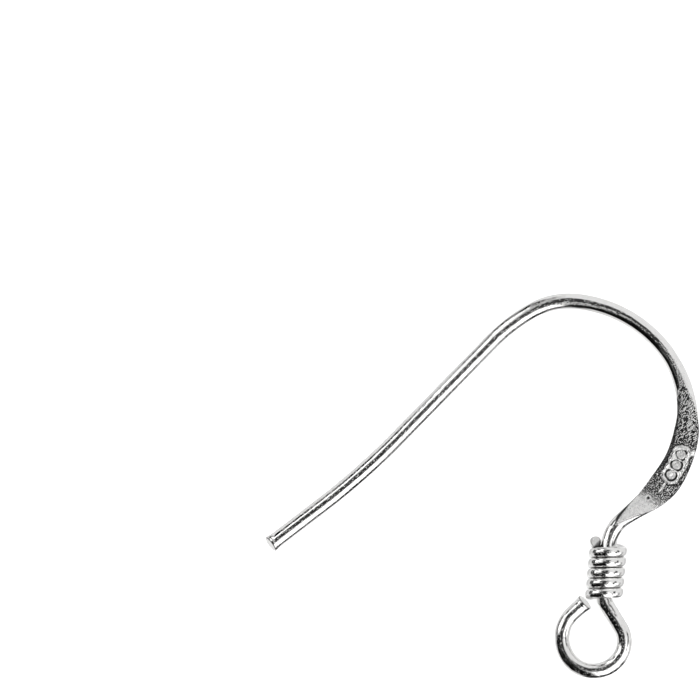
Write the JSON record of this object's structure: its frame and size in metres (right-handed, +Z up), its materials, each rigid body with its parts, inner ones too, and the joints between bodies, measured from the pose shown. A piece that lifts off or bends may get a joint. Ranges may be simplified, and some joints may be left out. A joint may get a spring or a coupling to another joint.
{
  "type": "ear wire",
  "caption": "French hook ear wire: an arched hook of round silver wire, pressed flat at the front, with a wound wire wrap above an open hanging loop.",
  "frame": {"origin": "on the surface the ear wire lies on, under the middle of its box", "axes": "+Z up off the surface; +X across the hook, from the free tip towards the wrap and the hanging loop; +Y from the loop towards the arch"},
  "size_m": [0.0196, 0.0178, 0.0018],
  "materials": {
    "silver": "polished"
  },
  "bodies": {
    "root": {"ear_hook": "silver", "wire_wrap": "silver"}
  },
  "joints": []
}
